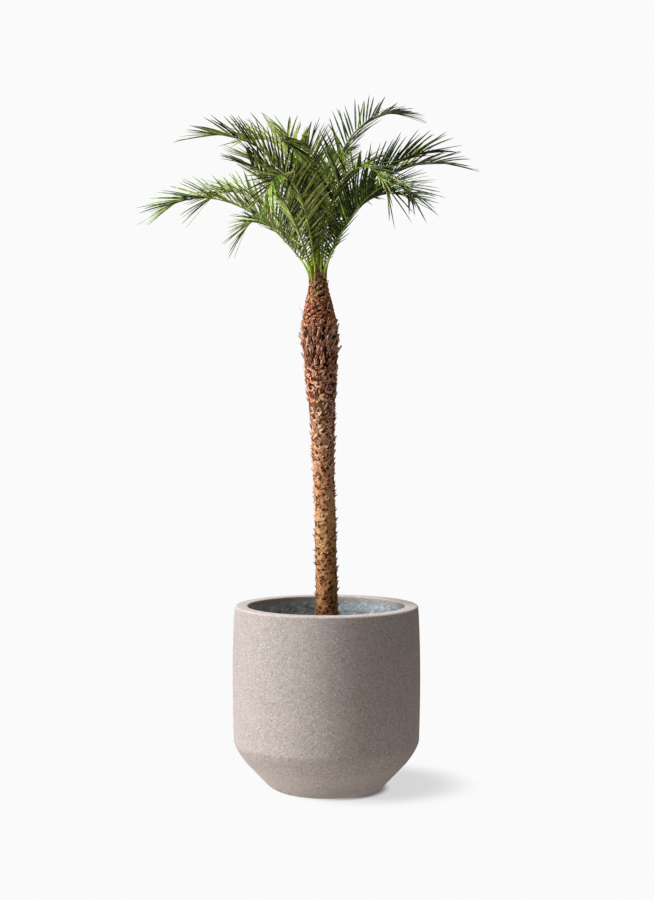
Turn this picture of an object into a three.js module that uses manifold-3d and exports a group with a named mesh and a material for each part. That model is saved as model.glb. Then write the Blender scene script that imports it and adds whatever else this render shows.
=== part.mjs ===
// A potted pygmy date palm: a round fibre-stone planter filled with potting soil, one slim
// trunk studded with old leaf bases, and a full crown of arching feather-shaped fronds.
// Millimetres, +Z up. The origin is the centre of the planter's flat underside.

import * as THREE from "three";
import { mergeVertices } from "three/addons/utils/BufferGeometryUtils.js";
import Module from "manifold-3d";

const wasm = await Module();
wasm.setup();

// ---------------------------------------------------------------- driving dimensions

const GAP = 0.3; // clearance between pieces that touch

const PLANTER = {
  height: 505,
  footRadius: 136.5, // flat underside
  footCurveOut: 30, // the rounding from the underside into the straight, sloping foot
  footCurveUp: 16.7,
  creaseRadius: 222.4, // where the foot ends in a line round the planter
  creaseHeight: 76,
  cornerRadius: 254.9, // the rounded corner above the line is drawn towards this point
  cornerHeight: 117.8,
  cornerTop: 130.1, // where the corner runs out into the wall
  bellyRadius: 258.5, // widest, a little above mid height
  bellyHeight: 312,
  rimRadius: 253,
  rimRound: 6, // rounded outer edge of the rim
  mouthRadius: 217, // inner edge of the rim
  mouthRound: 3.5,
  lipDepth: 58, // the rim is thicker than the wall down to here
  lipSlope: 15,
  wall: 16,
  floor: 26,
  cavityFoot: 155, // radius of the cavity at its floor
  cavityRound: 140, // height over which the cavity rounds out to the wall
  wallHeights: [165, 230, 312, 400], // rings of the outside above the corner
  cavityHeights: [26, 60, 110, 170, 260, 340], // rings of the inside that the soil fills
  sides: 40,
};

const SOIL = {
  top: 432, // level round the trunk
  edgeDrop: 7,
  levelRadius: 60,
};

const TRUNK = {
  foot: SOIL.top + GAP,
  tip: 1450,
  footX: 2.5,
  leanX: -27.5, // drift of the tip sideways
  leanPower: 1.2,
  taper: [ // height above the floor, radius of the bare trunk
    [432, 35], [490, 30], [860, 29], [1014, 33], [1179, 46], [1240, 50.5],
    [1300, 46], [1391, 26], [1421, 23], [1450, 17],
  ],
  columns: 14,
  ring: 17, // height between rings, half the pitch of the leaf bases
  twist: 0.11, // radians from ring to ring
  studdedTo: 1372,
  bareRings: [1412, 1434], // the smooth top, where the fronds are seated
  stubOut: 6,
  stubUp: 9,
  seed: 11,
};

const SPEAR = { length: 165, radius: 4.2, leanX: -6, sides: 6 };

const FROND = {
  pairs: 16, // pairs of leaflets
  blade: 0.11, // share of the length where the leaflets start
  splitAfter: 9, // pairs on the inner half of an arching frond
  splitTurn: 80, // degrees of arch past which a frond is two pieces
  leafletLength: 122,
  leafletWidth: 9,
  leafletThick: 1.3,
  leafletRoot: 7, // length of the root along the rib
  baseWidth: 9, // rib at the trunk
  stalkWidth: 6, // rib where the leaflets start
  tipWidth: 2.2,
  depthShare: 0.72, // depth of the rib over its width
  tipLeaflet: 98,
  sunkStart: 3, // the rib starts this far inside the trunk before it is cut
  upright: 26, // degrees steeper at the very foot, where a rib hugs the trunk
  uprightShare: 0.14, // share of the length over which it leans out
  steepest: 88,
};

// One row per frond: azimuth from +X, rise at the trunk and droop at the tip (degrees),
// power of the bend, rib length, height where it leaves the trunk, roll, and sideways sweep.
const FRONDS = [
  [184, 52, -31, 2.0, 482, 1404, -38, 2],
  [159, 56, -44, 3.0, 444, 1412, -28, -6],
  [131, 48, -40, 2.2, 448, 1404, -60, -17],
  [201, 87, -12, 1.5, 520, 1434, 12, 8],
  [146, 87, -8, 2.2, 495, 1434, 25, 2],
  [250, 70, -62, 2.1, 485, 1400, -20, -5],
  [294, 73, -76, 2.1, 515, 1414, 0, 22],
  [44, 88, -6, 1.8, 630, 1432, 28, -2],
  [12, 67, -9, 2.0, 515, 1404, 38, -3],
  [345, 81, 7, 1.2, 465, 1418, -24, -2],
  [317, 57, -50, 2.4, 470, 1402, 16, -15],
  [112, 83, 40, 1.2, 463, 1432, -5, 8],
  [78, 80, 28, 1.0, 440, 1434, 5, -6],
  [98, 60, -34, 1.7, 446, 1402, 0, 0],
  [68, 66, -8, 1.7, 450, 1402, 0, 0],
  [39, 66, -18, 1.9, 445, 1400, 0, -2],
  [236, 70, 23, 1.6, 350, 1436, 12, -40],
  [270, 84, -5, 1.6, 435, 1434, 24, -17],
  [224, 68, 6, 2.0, 415, 1390, 10, 16],
];

const COLOUR = {
  planter: 0x8c8379,
  soil: 0x3a2c22,
  trunk: 0x6b4a35,
  spear: 0xa9b25a,
  frond: 0x4d6b2c,
};

// ---------------------------------------------------------------- small helpers

const radians = THREE.MathUtils.degToRad;
const lerp = THREE.MathUtils.lerp;
const clamp = THREE.MathUtils.clamp;

// A repeatable random number between 0 and 1 from a seed.
function randomFrom(seed) {
  let state = seed >>> 0;
  return () => {
    state = (state + 0x6d2b79f5) >>> 0;
    let t = Math.imul(state ^ (state >>> 15), 1 | state);
    t = (t + Math.imul(t ^ (t >>> 7), 61 | t)) ^ t;
    return ((t ^ (t >>> 14)) >>> 0) / 4294967296;
  };
}

// Straight-line interpolation in a list of [position, value] pairs.
function interpolate(pairs, x) {
  const last = pairs.length - 1;
  if (x <= pairs[0][0]) return pairs[0][1];
  if (x >= pairs[last][0]) return pairs[last][1];
  const i = pairs.findIndex(([position]) => position > x);
  const [x0, y0] = pairs[i - 1];
  const [x1, y1] = pairs[i];
  return lerp(y0, y1, (x - x0) / (x1 - x0));
}

// Points and triangles gathered into one closed mesh.
class MeshBuilder {
  constructor() {
    this.points = [];
    this.faces = [];
  }

  add(point) {
    this.points.push(point.x, point.y, point.z);
    return this.points.length / 3 - 1;
  }

  triangle(a, b, c) {
    this.faces.push(a, b, c);
  }

  quad(a, b, c, d) {
    this.triangle(a, b, c);
    this.triangle(a, c, d);
  }

  // Walls from one ring of points to the next, with both rings seen anticlockwise from ahead.
  wall(ring, next) {
    ring.forEach((a, i) => {
      const j = (i + 1) % ring.length;
      this.quad(a, ring[j], next[j], next[i]);
    });
  }

  // A ring closed to one point.
  cone(ring, apex) {
    ring.forEach((a, i) => this.triangle(a, ring[(i + 1) % ring.length], apex));
  }

  geometry() {
    const geometry = new THREE.BufferGeometry();
    geometry.setAttribute("position", new THREE.Float32BufferAttribute(this.points, 3));
    geometry.setIndex(this.faces);
    return geometry;
  }
}

function toSolid(geometry) {
  const bare = geometry.clone();
  bare.deleteAttribute("normal");
  bare.deleteAttribute("uv");
  const merged = mergeVertices(bare);
  return new wasm.Manifold(new wasm.Mesh({
    numProp: 3,
    vertProperties: new Float32Array(merged.attributes.position.array),
    triVerts: new Uint32Array(merged.index.array),
  }));
}

function toGeometry(solid) {
  const mesh = solid.getMesh();
  const geometry = new THREE.BufferGeometry();
  geometry.setAttribute("position", new THREE.BufferAttribute(mesh.vertProperties, 3));
  geometry.setIndex(new THREE.BufferAttribute(mesh.triVerts, 1));
  return geometry;
}

const DOWN = new THREE.Vector3(0, 0, -1);
const palm = new THREE.Group();

function addPiece(name, geometry, color, roughness) {
  geometry.computeVertexNormals();
  const material = new THREE.MeshStandardMaterial({ color, roughness, metalness: 0 });
  const mesh = new THREE.Mesh(geometry, material);
  mesh.name = name;
  palm.add(mesh);
}

// ---------------------------------------------------------------- planter

// A LatheGeometry turns about Y, so it is stood up to turn about Z.
function turned(profile, sides) {
  return new THREE.LatheGeometry(profile, sides).rotateX(Math.PI / 2);
}

// Radius of the planter's outside at a height above the corner: nearly upright, and drawn in
// a little to the corner and to the rim.
function planterWallRadius(z) {
  const { cornerRadius, cornerHeight, bellyRadius, bellyHeight, rimRadius, height } = PLANTER;
  if (z < bellyHeight) {
    const down = (bellyHeight - z) / (bellyHeight - cornerHeight);
    return bellyRadius - (bellyRadius - cornerRadius) * down ** 2;
  }
  const up = (z - bellyHeight) / (height - bellyHeight);
  return bellyRadius - (bellyRadius - rimRadius) * up ** 2;
}

// Radius of the cavity: one wall thickness inside, rounded in to its floor.
function planterCavityRadius(z) {
  const { cavityFoot, cavityRound, cornerTop, floor, wall } = PLANTER;
  const blend = clamp((z - floor) / cavityRound, 0, 1);
  const wallInside = planterWallRadius(Math.max(z, cornerTop)) - wall;
  return lerp(cavityFoot, wallInside, Math.sin(blend * Math.PI / 2));
}

function planterGeometry() {
  const { height, footRadius, footCurveOut, footCurveUp, creaseRadius, creaseHeight } = PLANTER;
  const { cornerRadius, cornerHeight, cornerTop } = PLANTER;
  const { rimRadius, rimRound, mouthRadius, mouthRound, lipDepth, lipSlope, floor } = PLANTER;
  const point = (radius, z) => new THREE.Vector2(radius, z);
  const foot = new THREE.QuadraticBezierCurve(
    point(footRadius, 0),
    point(footRadius + footCurveOut * 0.55, 0),
    point(footRadius + footCurveOut, footCurveUp),
  );
  const corner = new THREE.QuadraticBezierCurve(
    point(creaseRadius, creaseHeight),
    point(cornerRadius, cornerHeight),
    point(planterWallRadius(cornerTop), cornerTop),
  );
  const profile = [point(0, 0), ...foot.getPoints(3), ...corner.getPoints(5)];
  PLANTER.wallHeights.forEach((z) => profile.push(point(planterWallRadius(z), z)));
  const rimSteps = 3;
  for (let i = 0; i <= rimSteps; i += 1) {
    const turn = ((i / rimSteps) * Math.PI) / 2;
    profile.push(point(
      rimRadius - rimRound + rimRound * Math.cos(turn),
      height - rimRound + rimRound * Math.sin(turn),
    ));
  }
  profile.push(point(mouthRadius + mouthRound, height));
  profile.push(point(mouthRadius, height - mouthRound));
  profile.push(point(mouthRadius, height - lipDepth));
  const inside = [...PLANTER.cavityHeights, height - lipDepth - lipSlope].reverse();
  inside.forEach((z) => profile.push(point(planterCavityRadius(z), z)));
  profile.push(point(0, floor));
  return turned(profile, PLANTER.sides);
}

// The soil fills the cavity with a little clearance, level round the trunk and falling
// slightly to the wall.
function soilGeometry() {
  const { top, edgeDrop, levelRadius } = SOIL;
  const { cavityHeights, floor, sides } = PLANTER;
  const point = (radius, z) => new THREE.Vector2(radius, z);
  const edge = top - edgeDrop;
  const profile = [point(0, floor + GAP)];
  cavityHeights.forEach((z) => {
    profile.push(point(planterCavityRadius(z) - 2 * GAP, Math.max(z, floor + GAP)));
  });
  profile.push(point(planterCavityRadius(edge) - 3 * GAP, edge));
  profile.push(point(levelRadius, top));
  profile.push(point(0, top));
  return turned(profile, sides);
}

addPiece("planter", planterGeometry(), COLOUR.planter, 0.85);
addPiece("potting_soil", soilGeometry(), COLOUR.soil, 0.95);

// ---------------------------------------------------------------- trunk and spear leaf

function trunkX(z) {
  const share = clamp((z - SOIL.top) / (TRUNK.tip - SOIL.top), 0, 1);
  return TRUNK.footX + TRUNK.leanX * share ** TRUNK.leanPower;
}

function trunkRadius(z) {
  return interpolate(TRUNK.taper, z);
}

// Rings of points up the trunk. On every second ring, every second point is drawn out and up
// into the pointed stub of an old leaf base, staggered from one such ring to the next. A grown
// copy of the trunk cuts the seats of the fronds.
function trunkGeometry(grow) {
  const { foot, tip, columns, ring, twist, studdedTo, bareRings, stubOut, stubUp } = TRUNK;
  const heights = [];
  for (let z = foot; z < studdedTo + ring; z += ring) heights.push(z);
  heights.push(...bareRings);
  const random = randomFrom(TRUNK.seed);
  const builder = new MeshBuilder();
  const rings = heights.map((z, i) => Array.from({ length: columns }, (_, j) => {
    const turn = ((j + 0.5 * (i % 2)) / columns) * 2 * Math.PI + twist * i;
    const isStub = i > 0 && i % 2 === 0 && (j + i / 2) % 2 === 0 && z < studdedTo;
    const vary = 0.75 + 0.5 * random();
    const out = isStub ? stubOut * vary * clamp(trunkRadius(z) / 30, 0.9, 1.25) : 0;
    const up = isStub ? stubUp * vary : 0;
    const radius = trunkRadius(z) + out + grow;
    return builder.add(new THREE.Vector3(
      trunkX(z) + radius * Math.cos(turn),
      radius * Math.sin(turn),
      z + up - (i === 0 ? grow : 0),
    ));
  }));
  for (let i = 0; i + 1 < rings.length; i += 1) {
    const shift = i % 2; // the staggered ring is half a column further round
    rings[i].forEach((a, j) => {
      const b = rings[i][(j + 1) % columns];
      const above = rings[i + 1][(j + shift) % columns];
      const before = rings[i + 1][(j + shift + columns - 1) % columns];
      builder.triangle(a, b, above);
      builder.triangle(a, above, before);
    });
  }
  const bottom = builder.add(new THREE.Vector3(trunkX(foot), 0, foot - grow));
  const top = builder.add(new THREE.Vector3(trunkX(tip), 0, tip + grow));
  builder.cone([...rings[0]].reverse(), bottom);
  builder.cone(rings[rings.length - 1], top);
  return builder.geometry();
}

function spearGeometry() {
  const start = new THREE.Vector3(trunkX(TRUNK.tip), 0, TRUNK.tip + GAP);
  const builder = new MeshBuilder();
  const ringAt = (share, radius) => Array.from({ length: SPEAR.sides }, (_, j) => {
    const turn = (j / SPEAR.sides) * 2 * Math.PI;
    return builder.add(new THREE.Vector3(
      start.x + SPEAR.leanX * share + radius * Math.cos(turn),
      radius * Math.sin(turn),
      start.z + SPEAR.length * share,
    ));
  });
  const foot = ringAt(0, SPEAR.radius * 0.8);
  const middle = ringAt(0.35, SPEAR.radius);
  const upper = ringAt(0.75, SPEAR.radius * 0.6);
  builder.cone([...foot].reverse(), builder.add(start));
  builder.wall(foot, middle);
  builder.wall(middle, upper);
  const apex = start.clone().add(new THREE.Vector3(SPEAR.leanX, 0, SPEAR.length));
  builder.cone(upper, builder.add(apex));
  return builder.geometry();
}

addPiece("trunk", trunkGeometry(0), COLOUR.trunk, 0.95);
addPiece("spear_leaf", spearGeometry(), COLOUR.spear, 0.6);

// ---------------------------------------------------------------- fronds

// Elevation of a rib in degrees: it stands close to the trunk at its foot, leans out, and
// then turns from rise to droop along its length.
function ribElevation(share, rise, droop, bend) {
  const { upright, uprightShare, steepest } = FROND;
  const hug = upright * Math.max(0, 1 - share / uprightShare) ** 1.5;
  return Math.min(rise - (rise - droop) * share ** bend + hug, Math.max(steepest, rise));
}

// Frames along a rib: side points to the left of the heading, and up completes the frame.
function ribFrames(row, shares) {
  const [azimuth, rise, droop, bend, length, height, roll, sweep] = row;
  const start = radians(azimuth);
  const reach = trunkRadius(height) - FROND.sunkStart;
  const position = new THREE.Vector3(
    trunkX(height) + reach * Math.cos(start),
    reach * Math.sin(start),
    height,
  );
  const frameAt = (share) => {
    const elevation = radians(ribElevation(share, rise, droop, bend));
    const heading = radians(azimuth + sweep * share * share);
    const along = new THREE.Vector3(
      Math.cos(elevation) * Math.cos(heading),
      Math.cos(elevation) * Math.sin(heading),
      Math.sin(elevation),
    );
    const side = new THREE.Vector3(-Math.sin(heading), Math.cos(heading), 0);
    const tilt = radians(roll) * share;
    const up = along.clone().cross(side);
    return {
      along,
      side: side.clone().multiplyScalar(Math.cos(tilt)).addScaledVector(up, Math.sin(tilt)),
      up: up.clone().multiplyScalar(Math.cos(tilt)).addScaledVector(side, -Math.sin(tilt)),
    };
  };
  const frames = [];
  let last = 0;
  for (const share of shares) {
    const steps = 4;
    for (let i = 0; i < steps; i += 1) {
      const middle = lerp(last, share, (i + 0.5) / steps);
      position.addScaledVector(frameAt(middle).along, (length * (share - last)) / steps);
    }
    last = share;
    frames.push({ share, position: position.clone(), ...frameAt(share) });
  }
  return frames;
}

function ribWidth(share) {
  const { baseWidth, stalkWidth, tipWidth, blade } = FROND;
  if (share < blade) return lerp(baseWidth, stalkWidth, share / blade);
  return lerp(stalkWidth, tipWidth, (share - blade) / (1 - blade));
}

// Stations along the rib: the stalk, then the two ends of each pair's root.
function ribShares(length) {
  const { blade, pairs, leafletRoot } = FROND;
  const shares = [0, blade * 0.3, blade * 0.65];
  for (let i = 0; i < pairs; i += 1) {
    const centre = lerp(blade, 0.965, i / (pairs - 1));
    shares.push(centre - leafletRoot / length / 2, centre + leafletRoot / length / 2);
  }
  shares.push(1);
  return shares;
}

// Shortest distance between two straight segments that taper from one radius to another,
// measured from skin to skin.
function taperedDistance(first, second) {
  const u = first.to.clone().sub(first.from);
  const v = second.to.clone().sub(second.from);
  const w = first.from.clone().sub(second.from);
  const uu = u.dot(u);
  const vv = v.dot(v);
  const uv = u.dot(v);
  const uw = u.dot(w);
  const vw = v.dot(w);
  const spread = uu * vv - uv * uv;
  let s = spread > 1e-9 ? clamp((uv * vw - vv * uw) / spread, 0, 1) : 0.5;
  const t = clamp((uv * s + vw) / vv, 0, 1);
  s = clamp((uv * t - uw) / uu, 0, 1);
  const gap = w.addScaledVector(u, s).addScaledVector(v, -t).length();
  return gap - lerp(first.r0, first.r1, s) - lerp(second.r0, second.r1, t);
}

// What already stands in the crown, the spear leaf first, so that each new leaflet can keep
// clear of it.
const taken = [{
  from: new THREE.Vector3(trunkX(TRUNK.tip), 0, TRUNK.tip),
  to: new THREE.Vector3(trunkX(TRUNK.tip) + SPEAR.leanX, 0, TRUNK.tip + SPEAR.length),
  r0: SPEAR.radius,
  r1: SPEAR.radius * 0.6,
}];

function isClear(segments) {
  return segments.every((segment) => taken.every((other) => {
    const isOwn = other.owner === segment.owner && other.hand !== segment.hand;
    return isOwn || taperedDistance(segment, other) > GAP;
  }));
}

// The centre line of one leaflet: out from the rib, forward, lifted, then drooping a little.
// The short ones at the foot of the blade stand out in every direction.
function leafletLine(frame, hand, place, change) {
  const { leafletLength, leafletWidth } = FROND;
  const swell = 0.25 + 0.75 * Math.min(1, place / 0.28);
  const fade = 1 - 0.1 * Math.max(0, (place - 0.6) / 0.4);
  const length = leafletLength * swell * fade * change.shrink;
  const forward = radians(lerp(60, 22, place) + change.forward);
  const lift = radians(lerp(38, 12, place) + change.lift);
  const direction = frame.along.clone().multiplyScalar(Math.cos(forward))
    .addScaledVector(frame.side, hand * Math.sin(forward) * Math.cos(lift))
    .addScaledVector(frame.up, Math.sin(forward) * Math.sin(lift));
  const middle = frame.position.clone().addScaledVector(direction, length * 0.45);
  const bent = direction.clone().addScaledVector(DOWN, lerp(0.03, 0.10, place)).normalize();
  const tip = middle.clone().addScaledVector(bent, length * 0.55);
  const half = leafletWidth / 2;
  return {
    direction,
    middle,
    tip,
    segments: [
      { from: frame.position, to: middle, r0: half * 0.8, r1: half },
      { from: middle, to: tip, r0: half, r1: 0 },
    ],
  };
}

const LEAFLET_TRIES = [
  { forward: 0, lift: 0, shrink: 1 },
  { forward: 5, lift: 8, shrink: 1 },
  { forward: -6, lift: -8, shrink: 1 },
  { forward: 8, lift: -16, shrink: 0.95 },
  { forward: -8, lift: 18, shrink: 0.9 },
  { forward: 12, lift: 26, shrink: 0.85 },
  { forward: -12, lift: -26, shrink: 0.8 },
  { forward: 0, lift: 12, shrink: 0.7 },
  { forward: 6, lift: -12, shrink: 0.6 },
  { forward: 0, lift: 0, shrink: 0.48 },
];

// The first of the tries that stands clear of the rest of the crown, or none.
function placeLeaflet(owner, frame, hand, place, random) {
  const stray = 14 + 80 * Math.max(0, 1 - place / 0.25);
  const start = { forward: 12 * (random() - 0.5), lift: stray * (random() - 0.5) };
  for (const attempt of LEAFLET_TRIES) {
    const line = leafletLine(frame, hand, place, {
      forward: start.forward + attempt.forward,
      lift: start.lift + attempt.lift,
      shrink: attempt.shrink,
    });
    const segments = line.segments.map((segment) => ({ ...segment, owner, hand }));
    if (isClear(segments)) {
      taken.push(...segments);
      return line;
    }
  }
  return null;
}

// A three-sided rib from one station to another. Where a leaflet stands, it grows out of the
// rib's side face as a blade that swells and then narrows to a point.
function frondGeometry(frames, leaflets, isTip) {
  const { leafletWidth, leafletThick, depthShare, tipLeaflet } = FROND;
  const builder = new MeshBuilder();
  const rings = frames.map(({ share, position, side, up }) => {
    const half = ribWidth(share) / 2;
    const depth = ribWidth(share) * depthShare;
    const corner = (across, high) => builder.add(position.clone()
      .addScaledVector(side, across).addScaledVector(up, high));
    return [corner(-half, depth / 2), corner(half, depth / 2), corner(0, -depth / 2)];
  });
  for (let i = 0; i + 1 < rings.length; i += 1) {
    const [right, left, keel] = rings[i];
    const [right2, left2, keel2] = rings[i + 1];
    builder.quad(left, right, right2, left2);
    for (const hand of [-1, 1]) {
      const face = hand < 0 ? [right, keel, keel2, right2] : [keel, left, left2, keel2];
      const leaflet = leaflets.find((one) => one.station === i && one.hand === hand);
      if (!leaflet) {
        builder.quad(...face);
        continue;
      }
      const { direction, middle, tip } = leaflet.line;
      const across = leaflet.frame.along.clone()
        .addScaledVector(direction, -leaflet.frame.along.dot(direction)).normalize();
      const over = across.clone().cross(direction).multiplyScalar(hand);
      const corner = (ahead, high) => builder.add(middle.clone()
        .addScaledVector(across, ahead * leafletWidth / 2)
        .addScaledVector(over, high * leafletThick / 2));
      const blade = hand < 0
        ? [corner(-1, 1), corner(-1, -1), corner(1, -1), corner(1, 1)]
        : [corner(-1, -1), corner(-1, 1), corner(1, 1), corner(1, -1)];
      builder.wall(face, blade);
      builder.cone(blade, builder.add(tip));
    }
  }
  builder.triangle(...rings[0]);
  const last = rings[rings.length - 1];
  if (isTip) {
    const end = frames[frames.length - 1];
    const apex = end.position.clone().addScaledVector(end.along, tipLeaflet);
    builder.cone([last[1], last[0], last[2]], builder.add(apex));
  } else {
    builder.triangle(last[1], last[0], last[2]);
  }
  return builder.geometry();
}

// Every rib takes its place first, then the leaflets of each frond in turn.
const ribs = FRONDS.map((row, owner) => {
  const frames = ribFrames(row, ribShares(row[4]));
  for (let i = 0; i + 1 < frames.length; i += 1) {
    taken.push({
      from: frames[i].position,
      to: frames[i + 1].position,
      r0: ribWidth(frames[i].share) * 0.55,
      r1: ribWidth(frames[i + 1].share) * 0.55,
      owner,
      isRib: true,
    });
  }
  return frames;
});

const trunkSpace = toSolid(trunkGeometry(GAP * 1.3));

FRONDS.forEach((row, owner) => {
  const [, rise, droop] = row;
  const random = randomFrom(100 + owner);
  const frames = ribs[owner];
  const stalkStations = 3;
  const leaflets = [];
  for (let i = 0; i < FROND.pairs; i += 1) {
    const station = stalkStations + 2 * i;
    const from = frames[station];
    const to = frames[station + 1];
    const frame = { ...from, position: from.position.clone().lerp(to.position, 0.5) };
    for (const hand of [-1, 1]) {
      const line = placeLeaflet(owner, frame, hand, i / (FROND.pairs - 1), random);
      if (line) leaflets.push({ station, hand, frame, line });
    }
  }
  const name = `frond_${String(owner + 1).padStart(2, "0")}`;
  const isSplit = rise - droop > FROND.splitTurn;
  const cut = isSplit ? stalkStations + 2 * FROND.splitAfter : frames.length - 1;
  const inner = frondGeometry(frames.slice(0, cut + 1), leaflets, !isSplit);
  // The cut can leave edges and slivers of a few microns, which are merged away.
  const seated = toGeometry(toSolid(inner).subtract(trunkSpace).simplify(0.02));
  addPiece(isSplit ? `${name}_inner` : name, seated, COLOUR.frond, 0.55);
  if (isSplit) {
    const outerFrames = frames.slice(cut);
    const [first] = outerFrames;
    outerFrames[0] = {
      ...first,
      position: first.position.clone().addScaledVector(first.along, GAP),
    };
    const moved = leaflets.map((leaflet) => ({ ...leaflet, station: leaflet.station - cut }));
    addPiece(`${name}_outer`, frondGeometry(outerFrames, moved, true), COLOUR.frond, 0.55);
  }
});

export default palm;
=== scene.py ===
import math

import bmesh
import bpy
import numpy as np
from mathutils import Matrix, Vector


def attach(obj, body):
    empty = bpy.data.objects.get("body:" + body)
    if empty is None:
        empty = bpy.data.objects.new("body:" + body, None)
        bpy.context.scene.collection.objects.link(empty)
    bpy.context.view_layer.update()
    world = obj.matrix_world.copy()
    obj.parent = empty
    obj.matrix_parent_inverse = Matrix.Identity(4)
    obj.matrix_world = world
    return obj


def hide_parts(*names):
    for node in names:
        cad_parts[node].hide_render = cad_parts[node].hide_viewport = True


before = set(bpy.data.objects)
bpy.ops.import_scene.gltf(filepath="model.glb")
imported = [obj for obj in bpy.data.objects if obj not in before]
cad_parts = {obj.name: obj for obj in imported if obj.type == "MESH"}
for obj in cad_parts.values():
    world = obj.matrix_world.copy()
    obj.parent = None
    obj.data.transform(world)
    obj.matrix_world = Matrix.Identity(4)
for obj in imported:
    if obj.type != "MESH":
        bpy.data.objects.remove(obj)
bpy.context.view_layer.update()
bpy.ops.object.select_all(action="DESELECT")


# ---------------------------- view, floor and light
# A portrait view from chest height, 4.4 m in front of the planter. Its long side is the
# upright one, so a 64 mm lens on the 36 mm long side gives its angle.
scene = bpy.context.scene
camera_data = bpy.data.cameras.new("studio_camera")
camera_data.lens = 64.0
camera_data.sensor_width = 36.0
camera_data.clip_end = 60.0
camera = bpy.data.objects.new("studio_camera", camera_data)
camera.location = (0.0014, -4.4, 1.0505)
sight = Vector((0.0014, 0.0, 0.9325)) - camera.location
camera.rotation_euler = sight.to_track_quat("-Z", "Y").to_euler()
scene.collection.objects.link(camera)
scene.camera = camera
scene.view_settings.view_transform = "Standard"
scene.view_settings.look = "None"


def linear(hex_colour):
    """The linear RGBA of an sRGB colour written as six hex digits."""
    parts = [int(hex_colour[i:i + 2], 16) / 255 for i in (0, 2, 4)]
    return (*[c / 12.92 if c <= 0.04045 else ((c + 0.055) / 1.055) ** 2.4 for c in parts], 1.0)


def add_node(tree, kind, links=None, values=None, stops=None, **settings):
    """Adds a node with its settings, socket values, incoming links and, on a ramp, stops."""
    made = tree.nodes.new(kind)
    for name, value in settings.items():
        setattr(made, name, value)
    for socket, value in (values or {}).items():
        made.inputs[socket].default_value = value
    for socket, source in (links or {}).items():
        tree.links.new(source, made.inputs[socket])
    if stops:
        ramp = made.color_ramp
        while len(ramp.elements) < len(stops):
            ramp.elements.new(1.0)
        for element, (place, colour) in zip(ramp.elements, stops):
            element.position = place
            element.color = linear(colour)
    return made


# The sweep is white paper, lit to the same pale tone as the air behind it. Only the part
# under the plant takes shade, so its edge never shows, and its light comes back up evenly.
PAPER = "fafafa"
world = bpy.data.worlds.new("white_studio")
scene.world = world
world.use_nodes = True
air = world.node_tree
air.nodes.clear()
ray = add_node(air, "ShaderNodeLightPath")
seen = add_node(air, "ShaderNodeBackground", values={"Color": linear(PAPER)})
# The diffusers hang overhead, so what isn't seen directly is brightest at the top.
aim = add_node(air, "ShaderNodeTexCoord")
aim = add_node(air, "ShaderNodeSeparateXYZ", links={0: aim.outputs["Generated"]})
dome = add_node(air, "ShaderNodeMapRange", links={"Value": aim.outputs[2]},
                values={"To Min": 0.05, "To Max": 0.62})
fill = add_node(air, "ShaderNodeBackground", values={"Color": linear("fff7f1")},
                links={"Strength": dome.outputs[0]})
air_mix = add_node(air, "ShaderNodeMixShader", links={
    0: ray.outputs["Is Camera Ray"], 1: fill.outputs[0], 2: seen.outputs[0]})
add_node(air, "ShaderNodeOutputWorld", links={"Surface": air_mix.outputs[0]})

bpy.ops.mesh.primitive_circle_add(vertices=96, radius=9.0, fill_type="NGON")
floor = bpy.context.object
floor.name = "studio_floor"
paper = bpy.data.materials.new("matt_white_paper")
paper.use_nodes = True
tree = paper.node_tree
tree.nodes.clear()
where = add_node(tree, "ShaderNodeTexCoord").outputs["Object"]
reach = add_node(tree, "ShaderNodeVectorMath", operation="LENGTH", links={0: where})
# Both the shade and its dark inner edge are pushed to the side away from the windows. The dark inner
# edge is a painted contact shadow: round the foot the paper's glow is turned down.
aside = add_node(tree, "ShaderNodeVectorMath", operation="DISTANCE",
                 links={0: where}, values={1: (0.14, 0.04, 0.0)})
fade = add_node(tree, "ShaderNodeMapRange", interpolation_type="SMOOTHSTEP",
                links={"Value": aside.outputs["Value"]}, values={"From Min": 0.14, "From Max": 0.30})
matt = add_node(tree, "ShaderNodeBsdfDiffuse", values={"Color": linear("7c7c7d")})
close_by = add_node(tree, "ShaderNodeVectorMath", operation="DISTANCE",
                    links={0: where}, values={1: (0.014, -0.004, 0.0)})
painted_contact_shade = add_node(tree, "ShaderNodeMapRange", interpolation_type="SMOOTHSTEP",
                 links={"Value": close_by.outputs["Value"]},
                 values={"From Min": 0.134, "From Max": 0.166, "To Min": 0.10, "To Max": 0.65})
lift = add_node(tree, "ShaderNodeEmission", values={"Color": linear(PAPER)},
                links={"Strength": painted_contact_shade.outputs[0]})
near = add_node(tree, "ShaderNodeAddShader", links={0: matt.outputs[0], 1: lift.outputs[0]})
glow = add_node(tree, "ShaderNodeEmission", values={"Color": linear(PAPER)})
sweep = add_node(tree, "ShaderNodeMixShader", links={
    0: fade.outputs[0], 1: near.outputs[0], 2: glow.outputs[0]})
# What the ground sends back up: its own light near the planter, most on the window side, and
# little from far off.
lit = add_node(tree, "ShaderNodeBsdfDiffuse", values={"Color": linear("7d7a78")})
across = add_node(tree, "ShaderNodeSeparateXYZ", links={0: where})
sideways = add_node(tree, "ShaderNodeMapRange", links={"Value": across.outputs[0]},
                    values={"From Min": -0.25, "From Max": 0.30, "To Min": 0.78, "To Max": 0.36})
base = add_node(tree, "ShaderNodeEmission", values={"Color": linear("fff7f1")},
                links={"Strength": sideways.outputs[0]})
ground = add_node(tree, "ShaderNodeAddShader", links={0: lit.outputs[0], 1: base.outputs[0]})
dim = add_node(tree, "ShaderNodeEmission", values={"Color": linear("fff7f1"), "Strength": 0.20})
far = add_node(tree, "ShaderNodeMapRange", interpolation_type="SMOOTHSTEP",
               links={"Value": reach.outputs["Value"]}, values={"From Min": 0.7, "From Max": 1.8})
bounce = add_node(tree, "ShaderNodeMixShader", links={
    0: far.outputs[0], 1: ground.outputs[0], 2: dim.outputs[0]})
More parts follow.
